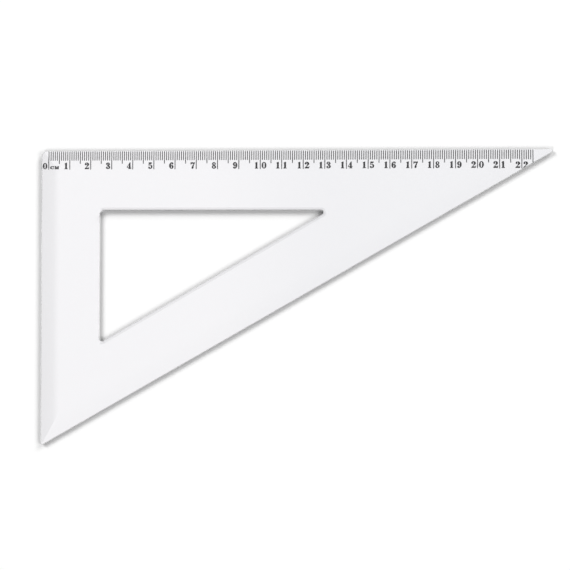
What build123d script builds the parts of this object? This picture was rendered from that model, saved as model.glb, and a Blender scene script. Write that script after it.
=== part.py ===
# Clear 30/60/90 drafting triangle with a printed centimetre scale. Sizes are in millimetres.
# The flat underside rests on z = 0. +X runs along the scale to the 30 degree tip, and +Y faces
# the graduated long leg. The origin is below the middle of the plate's box.
import os
from math import atan2, cos, radians, sin, tan

from build123d import *

# Outline: the long leg carries the scale and a margin at each end
scale_length = 225.0
zero_margin = 3.25
end_margin = 10.75
tip_angle = 30.0
frame_width = 27.75
square_corner_radius = 2.2
long_tip_radius = 0.7
short_tip_radius = 0.7

# Section: a flat plate whose outer edges slope down to a square land
thickness = 3.0
land_height = 2.3
bevel_width = 6.5
crest_softness = 0.9
edge_round = 0.2

# Cut-out: the outline moved in by frame_width, with a chamfered upper rim
window_square_radius = 2.0
window_long_tip_radius = 1.0
window_short_tip_radius = 1.4
rim_chamfer_width = 1.3
rim_chamfer_depth = 0.5

# Scale: ink strokes stamped into the underside and read through the clear plate
mark_pitch = 1.0
mark_width = 0.36
millimetre_length = 4.4
half_centimetre_length = 5.9
centimetre_length = 8.5
print_margin = 0.1
stamp_depth = 0.05
ink_gap = 0.01

# Counts of pitches between the longer marks
pitches_per_half = 5
pitches_per_centimetre = 10

# Sharp triangle, and the share of each leg that its rounded tip takes away
long_leg = zero_margin + scale_length + end_margin
short_leg = long_leg * tan(radians(tip_angle))
long_tip_loss = long_tip_radius * (1 / tan(radians(tip_angle / 2)) - 1)
short_tip_loss = short_tip_radius * (1 / tan(radians((90 - tip_angle) / 2)) - 1)
left_x = -(long_leg - long_tip_loss) / 2
top_y = (short_leg - short_tip_loss) / 2
square_corner = (left_x, top_y)
long_tip = (left_x + long_leg, top_y)
short_tip = (left_x, top_y - short_leg)

# The bevel's section, from well outside the plate to the arc that softens its crest to each side
bevel_drop = thickness - land_height
bevel_slope = atan2(bevel_drop, bevel_width)
bevel_foot = (-bevel_width, land_height - bevel_drop)
crest_start = (bevel_width - crest_softness * cos(bevel_slope), thickness - crest_softness * sin(bevel_slope))
crest_end = (bevel_width + crest_softness, thickness)
above_crest = (crest_end[0], thickness + bevel_drop)
above_foot = (bevel_foot[0], above_crest[1])


def round_corners(outline, square_radius, long_radius, short_radius):
    # The long tip is furthest right, the short tip lowest, and the square corner at the upper left
    fillet(outline.vertices().sort_by(Axis.X)[-1], radius=long_radius)
    fillet(outline.vertices().sort_by(Axis.Y)[0], radius=short_radius)
    fillet(outline.vertices().sort_by_distance(square_corner)[0], radius=square_radius)


with BuildSketch() as sharp_outline:
    with BuildLine():
        Polyline(square_corner, short_tip, long_tip, close=True)
    make_face()

with BuildSketch() as plate_outline:
    add(sharp_outline.sketch)
    round_corners(plate_outline, square_corner_radius, long_tip_radius, short_tip_radius)

with BuildSketch() as window_outline:
    offset(sharp_outline.sketch, amount=-frame_width, kind=Kind.INTERSECTION)
    round_corners(window_outline, window_square_radius, window_long_tip_radius, window_short_tip_radius)

with BuildSketch() as print_area:
    offset(sharp_outline.sketch, amount=-(edge_round + print_margin), kind=Kind.INTERSECTION)

# Strokes start at the long leg, and the print area trims them clear of the rounded edges
mark_count = round(scale_length / mark_pitch) + 1
centimetre_steps = [step for step in range(mark_count) if step % pitches_per_centimetre == 0]
half_steps = [step for step in range(0, mark_count, pitches_per_half) if step not in centimetre_steps]
millimetre_steps = [step for step in range(mark_count) if step % pitches_per_half]
mark_groups = {
    "millimetre_marks": (millimetre_steps, millimetre_length),
    "half_centimetre_marks": (half_steps, half_centimetre_length),
    "centimetre_marks": (centimetre_steps, centimetre_length),
}
stroke_sketches = {}
for name, (steps, length) in mark_groups.items():
    with BuildSketch() as strokes:
        centres = [(left_x + zero_margin + step * mark_pitch, top_y - length / 2) for step in steps]
        with Locations(*centres):
            Rectangle(mark_width, length)
        add(print_area.sketch, mode=Mode.INTERSECT)
    stroke_sketches[name] = strokes.sketch

with BuildSketch() as all_strokes:
    add(stroke_sketches.values())

# Plate: a sharp prism is bevelled along each side so that the bevels mitre, then its corners are rounded
sharp_corners = [Vector(*corner) for corner in (square_corner, short_tip, long_tip)]
with BuildPart() as triangle_plate:
    add(sharp_outline.sketch)
    extrude(amount=thickness)
    for start, end in zip(sharp_corners, sharp_corners[1:] + sharp_corners[:1]):
        along = (end - start).normalized()
        inward = along.rotate(Axis.Z, 90)
        with BuildSketch(Plane(origin=start - along * bevel_width, x_dir=inward, z_dir=along)):
            with BuildLine():
                slope = Line(bevel_foot, crest_start)
                TangentArc(crest_start, crest_end, tangent=slope % 1)
                Polyline(crest_end, above_crest, above_foot, bevel_foot)
            make_face()
        extrude(amount=(end - start).length + 2 * bevel_width, mode=Mode.SUBTRACT)
    extrude(plate_outline.sketch, amount=thickness, mode=Mode.INTERSECT)
    fillet(triangle_plate.faces().sort_by(Axis.Z)[0].edges(), radius=edge_round)
    extrude(window_outline.sketch, amount=thickness, mode=Mode.SUBTRACT)
    crest_face = triangle_plate.faces().sort_by(Axis.Z)[-1]
    rim_edges = crest_face.inner_wires()[0].edges()
    chamfer(rim_edges, length=rim_chamfer_width, length2=rim_chamfer_depth, reference=crest_face)
    extrude(all_strokes.sketch, amount=stamp_depth, mode=Mode.SUBTRACT)

# Ink: it lies in its stamped groove, flush with the underside
ink_marks = {}
for name, strokes in stroke_sketches.items():
    with BuildPart() as ink:
        extrude(strokes, amount=stamp_depth - ink_gap)
    ink_marks[name] = ink.part

os.makedirs("parts", exist_ok=True)
triangle_plate.part.label = "triangle_plate"
export_step(triangle_plate.part, "parts/triangle_plate.step")
for name, marks in ink_marks.items():
    marks.label = name
    export_step(marks, f"parts/{name}.step")
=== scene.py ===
import math

import bmesh
import bpy
from mathutils import Matrix, Vector


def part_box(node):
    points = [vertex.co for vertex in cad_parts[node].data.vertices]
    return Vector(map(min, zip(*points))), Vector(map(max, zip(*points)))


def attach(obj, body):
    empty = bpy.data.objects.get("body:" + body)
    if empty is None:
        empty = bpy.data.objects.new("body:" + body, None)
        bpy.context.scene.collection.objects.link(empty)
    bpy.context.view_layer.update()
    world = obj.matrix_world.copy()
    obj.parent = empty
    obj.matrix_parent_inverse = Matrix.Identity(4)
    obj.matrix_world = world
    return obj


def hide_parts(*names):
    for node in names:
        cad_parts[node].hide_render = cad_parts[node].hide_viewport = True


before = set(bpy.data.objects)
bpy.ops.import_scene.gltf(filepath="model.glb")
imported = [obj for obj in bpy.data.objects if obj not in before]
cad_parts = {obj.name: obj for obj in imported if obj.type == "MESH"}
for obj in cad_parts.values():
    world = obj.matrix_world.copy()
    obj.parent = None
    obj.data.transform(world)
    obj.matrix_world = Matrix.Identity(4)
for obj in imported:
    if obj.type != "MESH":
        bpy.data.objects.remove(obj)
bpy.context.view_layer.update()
plateLow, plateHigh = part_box("triangle_plate")
scene = bpy.context.scene
scene.view_settings.view_transform = "Standard"
print("frame loaded:", ", ".join(sorted(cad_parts)))


# Helpers for meshes and nodes
def newPiece(name, bm, *materials):
    mesh = bpy.data.meshes.new(name)
    bm.to_mesh(mesh)
    bm.free()
    for material in materials:
        mesh.materials.append(material)
    piece = bpy.data.objects.new(name, mesh)
    scene.collection.objects.link(piece)
    return piece


def newMaterial(name):
    material = bpy.data.materials.new(name)
    material.use_nodes = True
    return material, material.node_tree.nodes, material.node_tree.links


def addNode(nodes, kind, x, y, **settings):
    node = nodes.new(kind)
    node.location = (x, y)
    for key, value in settings.items():
        setattr(node, key, value)
    return node


def feed(links, value, socket):
    if isinstance(value, bpy.types.NodeSocket):
        links.new(value, socket)
    else:
        socket.default_value = value


def addNoise(nodes, links, vector, scale, detail, x, y):
    noise = addNode(nodes, "ShaderNodeTexNoise", x, y)
    feed(links, scale, noise.inputs["Scale"])
    noise.inputs["Detail"].default_value = detail
    links.new(vector, noise.inputs["Vector"])
    return noise.outputs["Fac"]


def addRange(nodes, links, value, fromSpan, toSpan, x, y):
    spread = addNode(nodes, "ShaderNodeMapRange", x, y)
    for socket, number in zip(("From Min", "From Max", "To Min", "To Max"), (*fromSpan, *toSpan)):
        spread.inputs[socket].default_value = number
    links.new(value, spread.inputs["Value"])
    return spread.outputs["Result"]


def addMix(nodes, links, factor, first, second, x, y):
    mix = addNode(nodes, "ShaderNodeMix", x, y, data_type="RGBA")
    links.new(factor, mix.inputs["Factor"])
    feed(links, first, mix.inputs["A"])
    feed(links, second, mix.inputs["B"])
    return mix.outputs["Result"]


def addBump(nodes, links, height, strength, distance, x, y):
    bump = addNode(nodes, "ShaderNodeBump", x, y)
    bump.inputs["Strength"].default_value = strength
    bump.inputs["Distance"].default_value = distance
    links.new(height, bump.inputs["Height"])
    return bump.outputs["Normal"]


# Handling wear, shared by the plastic, its milled sides and the ink: soft scuffs and a fine grain
wearLook = {
    "scales": {"Patch Scale": 40.0, "Grain Scale": 1800.0},  # where the group's inputs start
    "patchDetail": 5.0,
    "grainDetail": 3.0,
    "scuffSpan": (0.52, 0.74),  # patch noise where a scuff starts, and where it is full
    "grainSpan": (0.3, 0.7),  # grain noise from smoothest to roughest
}


def makeWearGroup():
    group = bpy.data.node_groups.new("handlingWear", "ShaderNodeTree")
    for name, start in wearLook["scales"].items():
        socket = group.interface.new_socket(name, in_out="INPUT", socket_type="NodeSocketFloat")
        socket.default_value = start
    for name in ("Scuffs", "Grain"):
        group.interface.new_socket(name, in_out="OUTPUT", socket_type="NodeSocketFloat")
    nodes, links = group.nodes, group.links
    entry = addNode(nodes, "NodeGroupInput", -900, 0)
    leave = addNode(nodes, "NodeGroupOutput", 500, 0)
    place = addNode(nodes, "ShaderNodeTexCoord", -900, 300).outputs["Object"]
    patchScale, grainScale = entry.outputs["Patch Scale"], entry.outputs["Grain Scale"]
    patches = addNoise(nodes, links, place, patchScale, wearLook["patchDetail"], -600, 200)
    grain = addNoise(nodes, links, place, grainScale, wearLook["grainDetail"], -600, -200)
    scuffs = addRange(nodes, links, patches, wearLook["scuffSpan"], (0.0, 1.0), 100, 200)
    links.new(scuffs, leave.inputs["Scuffs"])
    links.new(grain, leave.inputs["Grain"])
    return group


wearGroup = makeWearGroup()


def addWear(nodes, scales, x, y):
    wear = addNode(nodes, "ShaderNodeGroup", x, y, node_tree=wearGroup)
    for socket, scale in zip(wearLook["scales"], scales):
        wear.inputs[socket].default_value = scale
    return wear


# Lamps shine through the plate, but an upright side that they meet from outside throws a shadow
def passLamps(nodes, links, shader):
    look = {
        "faceLight": (0.998, 0.998, 0.998, 1.0),  # light let through a level face
        "sideLight": (0.04, 0.04, 0.042, 1.0),  # and through an upright one
        "levelSpan": (0.6, 0.93),  # upright below the first rise of the normal, level above the second
    }
    surface = addNode(nodes, "ShaderNodeNewGeometry", -1100, -600)
    facing = addNode(nodes, "ShaderNodeSeparateXYZ", -900, -600)
    links.new(surface.outputs["True Normal"], facing.inputs["Vector"])
    level = addNode(nodes, "ShaderNodeMath", -700, -600, operation="ABSOLUTE")
    links.new(facing.outputs["Z"], level.inputs[0])
    share = addRange(nodes, links, level.outputs["Value"], look["levelSpan"], (0.0, 1.0), -500, -600)
    clear = addNode(nodes, "ShaderNodeMath", -300, -600, operation="MAXIMUM")
    links.new(share, clear.inputs[0])
    links.new(surface.outputs["Backfacing"], clear.inputs[1])
    passed = addMix(nodes, links, clear.outputs["Value"], look["sideLight"], look["faceLight"], -100, -600)
    through = addNode(nodes, "ShaderNodeBsdfTransparent", 100, -500)
    links.new(passed, through.inputs["Color"])
    rays = addNode(nodes, "ShaderNodeLightPath", 100, 500)
    ending = shader.outputs["BSDF"]
    for step, ray in enumerate(("Is Shadow Ray", "Is Diffuse Ray")):
        blend = addNode(nodes, "ShaderNodeMixShader", 400 + 200 * step, 0)
        links.new(rays.outputs[ray], blend.inputs["Fac"])
        links.new(ending, blend.inputs[1])
        links.new(through.outputs["BSDF"], blend.inputs[2])
        ending = blend.outputs["Shader"]
    links.new(ending, nodes["Material Output"].inputs["Surface"])


# Clear plastic: its tone deepens slowly along the scale, and the painted shade held in the mesh darkens
# its bevels, chamfer and edge lines
def makeClearPlastic(name, refraction):
    look = {
        "paleTint": (0.902, 0.896, 0.914, 1.0),
        "deepTint": (0.860, 0.860, 0.880, 1.0),
        "toneChange": (-0.045, 0.020),  # metres along the scale
        # near black colour that the painted shade mixes towards
        "paintedShadeColour": (0.012, 0.012, 0.0123, 1.0),
        "wearScales": (38.0, 1500.0),
        "polish": (0.01, 0.05),  # roughness of a clean face, and of a scuff
        "rippleScale": 55.0,
        "rippleDetail": 1.0,
        "rippleStrength": 0.35,
        "rippleHeight": 0.000008,
    }
    material, nodes, links = newMaterial(name)
    shader = nodes["Principled BSDF"]
    shader.inputs["Transmission Weight"].default_value = 1.0
    shader.inputs["IOR"].default_value = refraction
    wear = addWear(nodes, look["wearScales"], -900, 100)
    place = addNode(nodes, "ShaderNodeTexCoord", -1400, -300).outputs["Object"]
    axes = addNode(nodes, "ShaderNodeSeparateXYZ", -1200, 500)
    links.new(place, axes.inputs["Vector"])
    along = addRange(nodes, links, axes.outputs["X"], look["toneChange"], (0.0, 1.0), -900, 500)
    along.node.interpolation_type = "SMOOTHSTEP"
    tint = addMix(nodes, links, along, look["paleTint"], look["deepTint"], -600, 500)
    # painted shade from the mesh darkens the base colour at the bevels, the chamfer and along fine edge
    # lines
    edge = addNode(nodes, "ShaderNodeAttribute", -600, 300, attribute_name="edgeShade")
    shaded = addMix(nodes, links, edge.outputs["Fac"], tint, look["paintedShadeColour"], -300, 400)
    links.new(shaded, shader.inputs["Base Color"])
    polish = addRange(nodes, links, wear.outputs["Scuffs"], (0.0, 1.0), look["polish"], -300, 100)
    links.new(polish, shader.inputs["Roughness"])
    ripple = addNoise(nodes, links, place, look["rippleScale"], look["rippleDetail"], -900, -300)
    normal = addBump(nodes, links, ripple, look["rippleStrength"], look["rippleHeight"], -300, -200)
    links.new(normal, shader.inputs["Normal"])
    passLamps(nodes, links, shader)
    return material


# Colour, roughness and fine bump that the two matt finishes take from their wear
def addMattFinish(nodes, links, shader, look):
    wear = addWear(nodes, look["wearScales"], -900, 100)
    shade = addMix(nodes, links, wear.outputs["Scuffs"], look["clean"], look["scuffed"], -300, 300)
    links.new(shade, shader.inputs["Base Color"])
    grain = wear.outputs["Grain"]
    rough = addRange(nodes, links, grain, wearLook["grainSpan"], look["roughness"], -300, 0)
    links.new(rough, shader.inputs["Roughness"])
    normal = addBump(nodes, links, grain, look["grainStrength"], look["grainHeight"], -300, -200)
    links.new(normal, shader.inputs["Normal"])


# Upright sides, left whitish by the cutter
def makeMilledEdge():
    look = {
        "clean": (0.97, 0.97, 0.975, 1.0),
        "scuffed": (0.94, 0.94, 0.945, 1.0),
        "roughness": (0.40, 0.60),
        "wearScales": (160.0, 5000.0),
        "grainStrength": 0.2,
        "grainHeight": 0.00001,
        "sheen": 1.0,
        "sheenRoughness": 0.6,
    }
    material, nodes, links = newMaterial("milledEdge")
    shader = nodes["Principled BSDF"]
    shader.inputs["Sheen Weight"].default_value = look["sheen"]
    shader.inputs["Sheen Roughness"].default_value = look["sheenRoughness"]
    addMattFinish(nodes, links, shader, look)
    passLamps(nodes, links, shader)
    return material


def makeBlackInk():
    look = {
        "clean": (0.006, 0.006, 0.007, 1.0),
        "scuffed": (0.022, 0.022, 0.025, 1.0),  # where the ink is thin
        "roughness": (0.42, 0.68),
        "wearScales": (420.0, 9000.0),
        "grainStrength": 0.3,
        "grainHeight": 0.00001,
    }
    material, nodes, links = newMaterial("blackInk")
    addMattFinish(nodes, links, nodes["Principled BSDF"], look)
    return material


clearPlastic = makeClearPlastic("clearPlastic", refraction=1.5)
restingFace = makeClearPlastic("restingFace", refraction=1.05)  # on the sheet it hardly bends the light
milledEdge = makeMilledEdge()
blackInk = makeBlackInk()
print("materials made:", clearPlastic.name, restingFace.name, milledEdge.name, blackInk.name)


# Clear plate: one section polygon with rounded corners, carried round the triangle as rings
plate = {
    "longLeg": 0.239,  # sharp corner to sharp corner, metres
    "tipAngle": math.radians(30.0),
    "cornerRadii": (0.0022, 0.0007, 0.0007),  # square corner, short tip, long tip
    "windowRadii": (0.0020, 0.0014, 0.0010),
    "frameWidth": 0.02775,
    "thickness": plateHigh.z - plateLow.z,
    "landHeight": 0.0023,
    "bevelWidth": 0.0065,
    "rimWidth": 0.0013,
    "rimDepth": 0.0005,
    "edgeRound": 0.0002,
    "crestSoftness": 0.0009,
    "rimRound": 0.00008,
    "cornerSteps": 14,
    "roundSteps": 6,
    "leastRadius": 0.00003,  # kept at the corners once the rounding is used up
    "weld": 0.0000003,
    "inkShow": 0.00002,  # the underside stops this far above the face of the ink
    "bevelPaintedShades": (0.233, 0.026, 0.021),  # painted shade on the bevels: short leg, hypotenuse, long leg
    "crestShare": 0.78,  # share of the bevel's painted shade that is left at the crest
    "paintedShadeFade": (0.0053, 0.0095),  # the bevel's painted shade starts to fade here, and is gone from here
    "fadeSteps": (0.70, 0.85, 1.0),  # shares of the fade with a ring of their own on the level face
    "shadePulls": (40.0, 1.0, 1.0),  # how far each side's painted shade reaches round its corners
    "sideFocus": 4,  # higher makes the shades change faster there
    "paintedEdgeLine": (0.0001, 0.0002),  # fine line of painted shade along the outer edge: full to here, then fades to here
    "paintedEdgeLineShades": (0.5, 0.8, 0.1),
    "rimPaintedShades": (0.0, 0.223, 0.256),  # painted shade on the chamfer round the cut-out, on the same sides
    "paintedRimLine": (0.00042, 0.00020),  # fine line of painted shade along the cut-out: starts here, and is full from here
    "paintedRimLineShades": (0.0, 0.40, 1.0),
    "uprightNormal": 0.3,  # faces whose normal rises less than this count as upright sides
    "restingNormal": -0.95,  # and those below this as the underside
    "flatWeight": 100,  # large faces keep their own normals beside the small roundings
}


def plateCorners():
    square = Vector((plateLow.x, plateHigh.y, 0.0))
    shortLeg = plate["longLeg"] * math.tan(plate["tipAngle"])
    shortTip = square - Vector((0.0, shortLeg, 0.0))
    longTip = square + Vector((plate["longLeg"], 0.0, 0.0))
    points = [square, shortTip, longTip]
    corners = []
    for before, point, after in zip(points[-1:] + points[:-1], points, points[1:] + points[:1]):
        back, onward = (before - point).normalized(), (after - point).normalized()
        angle = back.angle(onward)
        inward = (back + onward).normalized() / math.sin(angle / 2)  # one unit of inset
        side = Vector((-back.y, back.x, 0.0))  # outward normal of the edge that comes in
        onSide = Vector((onward.y, -onward.x, 0.0))  # outward normal of the edge that goes on
        corners.append({
            "point": point, "inward": inward, "side": side, "onSide": onSide, "turn": math.pi - angle,
        })
    for corner, radius, windowRadius in zip(corners, plate["cornerRadii"], plate["windowRadii"]):
        corner["radius"] = radius
        corner["windowRadius"] = windowRadius
    return corners


def sectionPoints():
    wide, tall = plate["frameWidth"], plate["thickness"]
    rimHeight = tall - plate["rimDepth"]
    rimSlope = plate["rimDepth"] / plate["rimWidth"]
    bevelSlope = (tall - plate["landHeight"]) / plate["bevelWidth"]
    fadeStart, fadeEnd = plate["paintedShadeFade"]
    fadeInsets = [fadeStart + share * (fadeEnd - fadeStart) for share in plate["fadeSteps"]]
    slopePoint = ((fadeStart, tall - (plate["bevelWidth"] - fadeStart) * bevelSlope), 0.0)
    levelPoints = [((inset, tall), 0.0) for inset in fadeInsets]
    linePoints = [((wide - reach, rimHeight + reach * rimSlope), 0.0) for reach in plate["paintedRimLine"]]
    shape = [  # inset and height of each corner, and its rounding
        ((0.0, plate["inkShow"]), plate["edgeRound"]),  # underside edge
        ((0.0, plate["landHeight"]), plate["edgeRound"]),  # top of the land
        slopePoint,  # points without a rounding only carry the painted shade
        ((plate["bevelWidth"], tall), plate["crestSoftness"]),
        *levelPoints,
        ((wide - plate["rimWidth"], tall), plate["rimRound"]),
        *linePoints,
        ((wide, rimHeight), plate["rimRound"]),
        ((wide, plate["inkShow"]), plate["rimRound"]),
    ]
    bm = bmesh.new()
    corners = [bm.verts.new((inset, height, 0.0)) for (inset, height), offset in shape]
    bm.faces.new(corners)
    for corner, (place, offset) in zip(corners, shape):
        if offset:
            bmesh.ops.bevel(
                bm, geom=[corner], affect="VERTICES", offset=offset, offset_type="OFFSET",
                segments=plate["roundSteps"], profile=0.5, material=-1,
            )
    bm.faces.ensure_lookup_table()
    points = [(vert.co.x, vert.co.y) for vert in bm.faces[0].verts]
    bm.free()
    return points


def ringPlace(corner, outward, inset, height):
    if inset < plate["frameWidth"] / 2:
        radius = max(corner["radius"] - inset, plate["leastRadius"])
    else:
        radius = corner["windowRadius"] + plate["frameWidth"] - inset
    place = corner["point"] + corner["inward"] * (inset + radius) + outward * radius
    return Vector((place.x, place.y, height))


def clipShare(value):
    return min(max(value, 0.0), 1.0)


def softStep(share):
    return share * share * (3 - 2 * share)


# Painted shade of a ring point, blended from the three sides' values by the way it faces
def blendSides(corners, outward, shades):
    facing = [max(outward.dot(corner["onSide"]), 0.0) ** plate["sideFocus"] for corner in corners]
    weights = [pull * share for pull, share in zip(plate["shadePulls"], facing)]
    return sum(weight * shade for weight, shade in zip(weights, shades)) / sum(weights)


# Painted shade held in the mesh: grey on the bevels and the chamfer, and fine dark lines along the outer
# edge and the cut-out
def edgeShade(corners, outward, inset, height):
    if height < plate["landHeight"] - plate["edgeRound"]:  # walls and underside stay clear
        return 0.0
    fadeStart, fadeEnd = plate["paintedShadeFade"]
    if inset < fadeEnd:
        share = softStep(clipShare((fadeEnd - inset) / (fadeEnd - fadeStart)))
        share *= plate["crestShare"] + (1 - plate["crestShare"]) * (1 - inset / plate["bevelWidth"])
        shade = share * blendSides(corners, outward, plate["bevelPaintedShades"])
        lineFull, lineGone = plate["paintedEdgeLine"]
        line = clipShare((lineGone - inset) / (lineGone - lineFull))
        lineShade = blendSides(corners, outward, plate["paintedEdgeLineShades"])
    else:
        fromRim = inset - plate["frameWidth"]
        share = clipShare((fromRim + plate["rimWidth"] + plate["rimRound"]) / (2 * plate["rimRound"]))
        shade = share * blendSides(corners, outward, plate["rimPaintedShades"])
        lineStart, lineFull = plate["paintedRimLine"]
        line = clipShare((fromRim + lineStart) / (lineStart - lineFull))
        lineShade = blendSides(corners, outward, plate["paintedRimLineShades"])
    return shade + line * (lineShade - shade)


def startRing(bm, corners, cornerMark, outwardMark, paintedShadeMark, inset, height):
    ends = []
    for number, corner in enumerate(corners):
        start = bm.verts.new(ringPlace(corner, corner["side"], inset, height))
        start[cornerMark] = number
        centre = ringPlace(corner, Vector(), inset, height)
        arc = bmesh.ops.spin(
            bm, geom=[start], cent=centre, axis=(0, 0, 1),
            angle=corner["turn"], steps=plate["cornerSteps"],
        )
        ends.append((start, arc["geom_last"][0]))
    for finished, following in zip(ends, ends[1:] + ends[:1]):
        bm.edges.new((finished[1], following[0]))
    for vert in bm.verts:
        centre = ringPlace(corners[vert[cornerMark]], Vector(), inset, height)
        vert[outwardMark] = (vert.co - centre).normalized()
        vert[paintedShadeMark] = edgeShade(corners, vert[outwardMark], inset, height)
    return bm.edges[:]


def makePlate():
    bm = bmesh.new()
    corners = plateCorners()
    cornerMark = bm.verts.layers.int.new("corner")
    outwardMark = bm.verts.layers.float_vector.new("outward")
    # layer that holds the painted shade
    paintedShadeMark = bm.verts.layers.float.new("edgeShade")
    section = sectionPoints()
    edges = startRing(bm, corners, cornerMark, outwardMark, paintedShadeMark, *section[0])
    for inset, height in section[1:] + section[:1]:  # round the section and back to its start
        grown = bmesh.ops.extrude_edge_only(bm, edges=edges)["geom"]
        edges = [part for part in grown if isinstance(part, bmesh.types.BMEdge)]
        for vert in (part for part in grown if isinstance(part, bmesh.types.BMVert)):
            vert.co = ringPlace(corners[vert[cornerMark]], vert[outwardMark], inset, height)
            vert[paintedShadeMark] = edgeShade(corners, vert[outwardMark], inset, height)
    bmesh.ops.remove_doubles(bm, verts=bm.verts, dist=plate["weld"])
    bmesh.ops.recalc_face_normals(bm, faces=bm.faces)
    finishes = [clearPlastic, milledEdge, restingFace]
    for face in bm.faces:
        face.smooth = True
        if abs(face.normal.z) < plate["uprightNormal"]:
            face.material_index = finishes.index(milledEdge)
        elif face.normal.z < plate["restingNormal"]:
            face.material_index = finishes.index(restingFace)
    piece = newPiece("trianglePlate", bm, *finishes)
    flats = piece.modifiers.new("flatFaces", "WEIGHTED_NORMAL")
    flats.weight = plate["flatWeight"]
    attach(piece, "root")
    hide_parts("triangle_plate")
    return piece


trianglePlate = makePlate()
print("plate made:", len(trianglePlate.data.polygons), "faces")

# Scale strokes keep their solids and take the ink
for name in ("millimetre_marks", "half_centimetre_marks", "centimetre_marks"):
    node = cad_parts[name]
    node.data.materials.clear()
    node.data.materials.append(blackInk)
print("scale strokes inked")


# Numerals and unit mark: outlines in shares of their height, at the level of the strokes' ink
def sharp(x, y):
    return (x, y, "VECTOR")


def bend(x, y):
    return (x, y, "AUTO")


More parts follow.
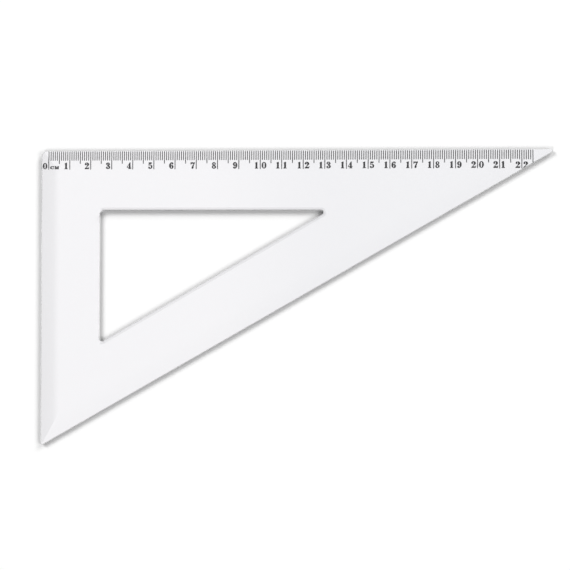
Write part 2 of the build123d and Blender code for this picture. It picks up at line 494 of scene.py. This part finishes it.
glyphs = {
    "0": {"width": 0.74, "outlines": [
        [bend(0.37, 1.0), bend(0.0, 0.5), bend(0.37, 0.0), bend(0.74, 0.5)],
        [bend(0.37, 0.94), bend(0.245, 0.5), bend(0.37, 0.06), bend(0.495, 0.5)],
    ]},
    "1": {"width": 0.60, "outlines": [[
        sharp(0.0, 0.0), sharp(0.47, 0.0), sharp(0.47, 0.06), sharp(0.36, 0.085), sharp(0.36, 1.0),
        sharp(0.27, 1.0), sharp(0.04, 0.88), sharp(0.04, 0.82), sharp(0.11, 0.84), sharp(0.11, 0.085),
        sharp(0.0, 0.06),
    ]]},
    "2": {"width": 0.745, "outlines": [[
        bend(0.03, 0.76), bend(0.37, 1.0), bend(0.72, 0.74), bend(0.45, 0.42), bend(0.20, 0.21),
        bend(0.40, 0.235), bend(0.62, 0.15), sharp(0.68, 0.29), sharp(0.745, 0.29), sharp(0.68, 0.0),
        sharp(0.02, 0.0), sharp(0.04, 0.09), bend(0.29, 0.36), bend(0.44, 0.72), bend(0.34, 0.94),
        bend(0.20, 0.90), bend(0.31, 0.76), bend(0.17, 0.63),
    ]]},
    "3": {"width": 0.70, "outlines": [[
        bend(0.04, 0.80), bend(0.34, 1.0), bend(0.64, 0.76), sharp(0.45, 0.535), bend(0.70, 0.27),
        bend(0.33, 0.0), bend(0.02, 0.20), bend(0.15, 0.34), bend(0.28, 0.215), bend(0.19, 0.085),
        bend(0.31, 0.05), bend(0.46, 0.27), sharp(0.235, 0.515), sharp(0.235, 0.555), bend(0.42, 0.76),
        bend(0.31, 0.95), bend(0.20, 0.915), bend(0.29, 0.79), bend(0.17, 0.67),
    ]]},
    "4": {"width": 0.70, "outlines": [
        [
            sharp(0.46, 1.0), sharp(0.56, 1.0), sharp(0.56, 0.29), sharp(0.70, 0.29), sharp(0.70, 0.235),
            sharp(0.56, 0.235), sharp(0.56, 0.06), sharp(0.68, 0.05), sharp(0.68, 0.0), sharp(0.20, 0.0),
            sharp(0.20, 0.05), sharp(0.34, 0.06), sharp(0.34, 0.235), sharp(0.0, 0.235), sharp(0.0, 0.285),
        ],
        [sharp(0.34, 0.29), sharp(0.34, 0.80), sharp(0.055, 0.29)],
    ]},
    "5": {"width": 0.67, "outlines": [[
        sharp(0.09, 1.0), sharp(0.59, 1.0), bend(0.53, 0.84), bend(0.35, 0.80), sharp(0.14, 0.81),
        sharp(0.13, 0.60), bend(0.37, 0.66), bend(0.67, 0.34), bend(0.32, 0.0), bend(0.02, 0.19),
        bend(0.14, 0.32), bend(0.265, 0.20), bend(0.19, 0.085), bend(0.305, 0.05), bend(0.455, 0.33),
        bend(0.33, 0.61), sharp(0.14, 0.52), sharp(0.09, 0.52),
    ]]},
    "6": {"width": 0.70, "outlines": [
        [
            bend(0.39, 1.0), bend(0.01, 0.46), bend(0.36, 0.0), bend(0.69, 0.31), bend(0.42, 0.60),
            sharp(0.265, 0.53), bend(0.265, 0.70), bend(0.40, 0.95), bend(0.50, 0.925), bend(0.42, 0.82),
            bend(0.54, 0.71), bend(0.66, 0.82),
        ],
        [bend(0.36, 0.55), bend(0.265, 0.30), bend(0.36, 0.05), bend(0.455, 0.30)],
    ]},
    "7": {"width": 0.67, "outlines": [[
        sharp(0.02, 0.68), sharp(0.06, 0.68), bend(0.14, 0.79), bend(0.31, 0.82), sharp(0.52, 0.79),
        bend(0.30, 0.42), bend(0.20, 0.10), bend(0.30, 0.0), bend(0.44, 0.08), bend(0.47, 0.40),
        bend(0.67, 0.90), sharp(0.67, 1.0), sharp(0.63, 1.0), bend(0.47, 0.955), bend(0.23, 1.0),
        bend(0.08, 0.95), sharp(0.06, 1.0), sharp(0.02, 1.0),
    ]]},
    "8": {"width": 0.66, "outlines": [
        [
            bend(0.33, 1.0), bend(0.04, 0.76), bend(0.16, 0.54), bend(0.0, 0.26), bend(0.33, 0.0),
            bend(0.66, 0.26), bend(0.50, 0.55), bend(0.62, 0.76),
        ],
        [bend(0.36, 0.95), bend(0.24, 0.80), bend(0.40, 0.59), bend(0.46, 0.77)],
        [bend(0.31, 0.47), bend(0.20, 0.25), bend(0.33, 0.05), bend(0.44, 0.20)],
    ]},
    "C": {"width": 1.44, "outlines": [[
        bend(0.78, 1.0), bend(0.0, 0.5), bend(0.78, 0.0), sharp(1.42, 0.27), sharp(1.33, 0.27),
        bend(0.86, 0.11), bend(0.44, 0.5), bend(0.86, 0.89), sharp(1.30, 0.62), sharp(1.39, 0.62),
        sharp(1.39, 1.0), sharp(1.31, 1.0), sharp(1.25, 0.93),
    ]]},
    "M": {"width": 1.42, "outlines": [[
        sharp(0.0, 1.0), sharp(0.44, 1.0), sharp(0.73, 0.28), sharp(1.00, 1.0), sharp(1.42, 1.0),
        sharp(1.42, 0.94), sharp(1.32, 0.92), sharp(1.32, 0.08), sharp(1.42, 0.06), sharp(1.42, 0.0),
        sharp(0.86, 0.0), sharp(0.86, 0.06), sharp(0.97, 0.08), sharp(0.97, 0.76), sharp(0.66, 0.0),
        sharp(0.58, 0.0), sharp(0.25, 0.74), sharp(0.25, 0.08), sharp(0.38, 0.06), sharp(0.38, 0.0),
        sharp(0.0, 0.0), sharp(0.0, 0.06), sharp(0.13, 0.08), sharp(0.13, 0.92), sharp(0.0, 0.94),
    ]]},
}
six = glyphs["6"]
glyphs["9"] = {"width": six["width"], "outlines": [  # a six turned over
    [(six["width"] - x, 1.0 - y, handle) for x, y, handle in outline] for outline in six["outlines"]
]}

strokeLow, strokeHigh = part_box("centimetre_marks")
numerals = {
    "count": 23,
    "pitch": 0.010,
    "height": 0.0028,
    "baseline": plateHigh.y - 0.00824,  # down from the graduated edge
    "firstEnd": -0.00076,  # right end of the first digit, from its stroke
    "secondMiddle": 0.00175,
    "inkDepth": strokeHigh.z - strokeLow.z,
    "edgeMargin": 0.0003,  # the print stops this far inside the sloping edge
    "curveSteps": 6,
    "boldness": 0.00008,  # the ink spreads this far past the outlines
    "weld": 0.000001,
    "cutMerge": 0.0000001,
}
unitMark = {
    "height": 0.00128,
    "boldness": 0.00008,
    "letters": (("C", 0.00162), ("M", 0.00382)),  # middles, from the zero stroke
}


def glyphMesh(sign, height, boldness):
    curve = bpy.data.curves.new("glyph" + sign, "CURVE")
    curve.dimensions = "2D"
    curve.fill_mode = "BOTH"
    curve.resolution_u = numerals["curveSteps"]
    curve.extrude = numerals["inkDepth"] / 2
    curve.offset = boldness
    for outline in glyphs[sign]["outlines"]:
        spline = curve.splines.new("BEZIER")
        spline.use_cyclic_u = True
        spline.bezier_points.add(len(outline) - 1)
        for point, (x, y, handle) in zip(spline.bezier_points, outline):
            point.co = ((x - glyphs[sign]["width"] / 2) * height, y * height, 0.0)
            point.handle_left_type = handle
            point.handle_right_type = handle
    holder = bpy.data.objects.new(curve.name, curve)
    scene.collection.objects.link(holder)
    filled = holder.evaluated_get(bpy.context.evaluated_depsgraph_get())
    mesh = bpy.data.meshes.new_from_object(filled)
    bpy.data.objects.remove(holder)
    bpy.data.curves.remove(curve)
    return mesh


def printSigns(name, signs, size, sloping):
    bm = bmesh.new()
    for sign, middle in signs:
        mesh = glyphMesh(sign, size["height"], size["boldness"])
        held = len(bm.verts)
        bm.from_mesh(mesh)
        bpy.data.meshes.remove(mesh)
        place = Vector((middle, numerals["baseline"], numerals["inkDepth"] / 2))
        bmesh.ops.translate(bm, verts=bm.verts[held:], vec=place)
    bmesh.ops.remove_doubles(bm, verts=bm.verts, dist=numerals["weld"])
    margin = sloping["onSide"] * numerals["edgeMargin"]
    cut = bmesh.ops.bisect_plane(
        bm, geom=bm.verts[:] + bm.edges[:] + bm.faces[:], dist=numerals["cutMerge"],
        plane_co=sloping["point"] - margin, plane_no=sloping["onSide"], clear_outer=True,
    )["geom_cut"]
    rims = [part for part in cut if isinstance(part, bmesh.types.BMEdge)]
    if rims:
        bmesh.ops.holes_fill(bm, edges=rims)
    bmesh.ops.recalc_face_normals(bm, faces=bm.faces)
    piece = newPiece(name, bm, blackInk)
    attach(piece, "root")


def makePrint():
    shortTip = plateCorners()[1]  # the sloping edge goes on from here
    zero = (strokeLow.x + strokeHigh.x) / 2 - numerals["pitch"] * (numerals["count"] - 1) / 2
    for number in range(numerals["count"]):
        stroke = zero + number * numerals["pitch"]
        first, second = str(number)[0], str(number)[1:]
        halfWidth = glyphs[first]["width"] * numerals["height"] / 2
        signs = [(first, stroke + numerals["firstEnd"] - halfWidth)]
        signs += [(digit, stroke + numerals["secondMiddle"]) for digit in second]
        printSigns(f"numeral{number:02d}", signs, numerals, shortTip)
    signs = [(letter, zero + place) for letter, place in unitMark["letters"]]
    printSigns("unitMark", signs, unitMark, shortTip)


makePrint()
print("numerals printed:", numerals["count"])

# White table, not part of the object
table = {"halfWidth": 4.0, "drop": 0.00002, "colour": (0.98, 0.98, 0.98, 1.0), "roughness": 0.9}


def makeTable():
    material, nodes = newMaterial("whiteTable")[:2]
    shader = nodes["Principled BSDF"]
    shader.inputs["Base Color"].default_value = table["colour"]
    shader.inputs["Roughness"].default_value = table["roughness"]
    shader.inputs["Specular IOR Level"].default_value = 0.0
    bm = bmesh.new()
    place = Matrix.Translation((0.0, 0.0, -table["drop"]))
    bmesh.ops.create_grid(bm, x_segments=1, y_segments=1, size=table["halfWidth"], matrix=place)
    newPiece("whiteTable", bm, material)


makeTable()

# Soft light: round lamps about the table, in a dim room that the plastic sees as white
light = {
    "roomColour": (1.0, 1.0, 1.0, 1.0),
    "room": 0.02,  # light of the room itself
    "level": 1.025,  # brightness that the lamps give a white table
    "distance": 6.0,
    "lampRadius": 1.47,
    "lamps": {  # bearing from the scale's direction, elevation, share of the light
        "backRightLamp": (52.0, 30.7, 0.236),
        "backLeftLamp": (139.0, 43.2, 0.379),
        "frontLeftLamp": (247.0, 53.2, 0.195),
        "rightLamp": (345.0, 41.8, 0.19),
    },
}


def makeLight():
    world = bpy.data.worlds.new("paleRoom")
    world.use_nodes = True
    scene.world = world
    nodes, links = world.node_tree.nodes, world.node_tree.links
    rays = addNode(nodes, "ShaderNodeLightPath", -900, 0)
    seen = rays.outputs["Is Camera Ray"]
    for step, ray in enumerate(("Is Glossy Ray", "Is Transmission Ray")):
        either = addNode(nodes, "ShaderNodeMath", -600 + 200 * step, 0, operation="MAXIMUM")
        links.new(seen, either.inputs[0])
        links.new(rays.outputs[ray], either.inputs[1])
        seen = either.outputs["Value"]
    strength = addRange(nodes, links, seen, (0.0, 1.0), (light["room"], 1.0), -200, 0)
    room = nodes["Background"]
    room.inputs["Color"].default_value = light["roomColour"]
    links.new(strength, room.inputs["Strength"])
    spread = light["distance"] ** 2 + light["lampRadius"] ** 2
    for name, (bearing, elevation, share) in light["lamps"].items():
        height = math.sin(math.radians(elevation))
        lamp = bpy.data.lights.new(name, "AREA")
        lamp.shape = "DISK"
        lamp.size = 2 * light["lampRadius"]
        lamp.energy = share * light["level"] * math.pi ** 2 * spread / height  # on a level table
        holder = bpy.data.objects.new(name, lamp)
        around = Matrix.Rotation(math.radians(bearing), 3, "Z")
        raised = Matrix.Rotation(-math.radians(elevation), 3, "Y")
        holder.location = around @ raised @ Vector((light["distance"], 0.0, 0.0))
        holder.rotation_euler = (-holder.location).to_track_quat("-Z", "Y").to_euler()
        holder.visible_glossy = False  # the plastic mirrors the room, not the lamps
        holder.visible_transmission = False
        scene.collection.objects.link(holder)


makeLight()

# Camera, fitted to the scale marks and to the corners of the outline and the window
view = {
    "place": (0.0904, 0.0071, 0.8128),
    "turn": (-0.01, 6.60, 0.242),  # degrees
    "focalPixels": 1768.4,
    "imagePixels": 570.0,
    "sensor": 36.0,
    "clip": (0.01, 50.0),
}


def makeCamera():
    lens = bpy.data.cameras.new("photoCamera")
    lens.sensor_width = view["sensor"]
    lens.lens = view["sensor"] * view["focalPixels"] / view["imagePixels"]
    lens.clip_start, lens.clip_end = view["clip"]
    camera = bpy.data.objects.new("photoCamera", lens)
    camera.location = view["place"]
    camera.rotation_euler = [math.radians(angle) for angle in view["turn"]]
    scene.collection.objects.link(camera)
    scene.camera = camera


makeCamera()
print("table, light and camera set")
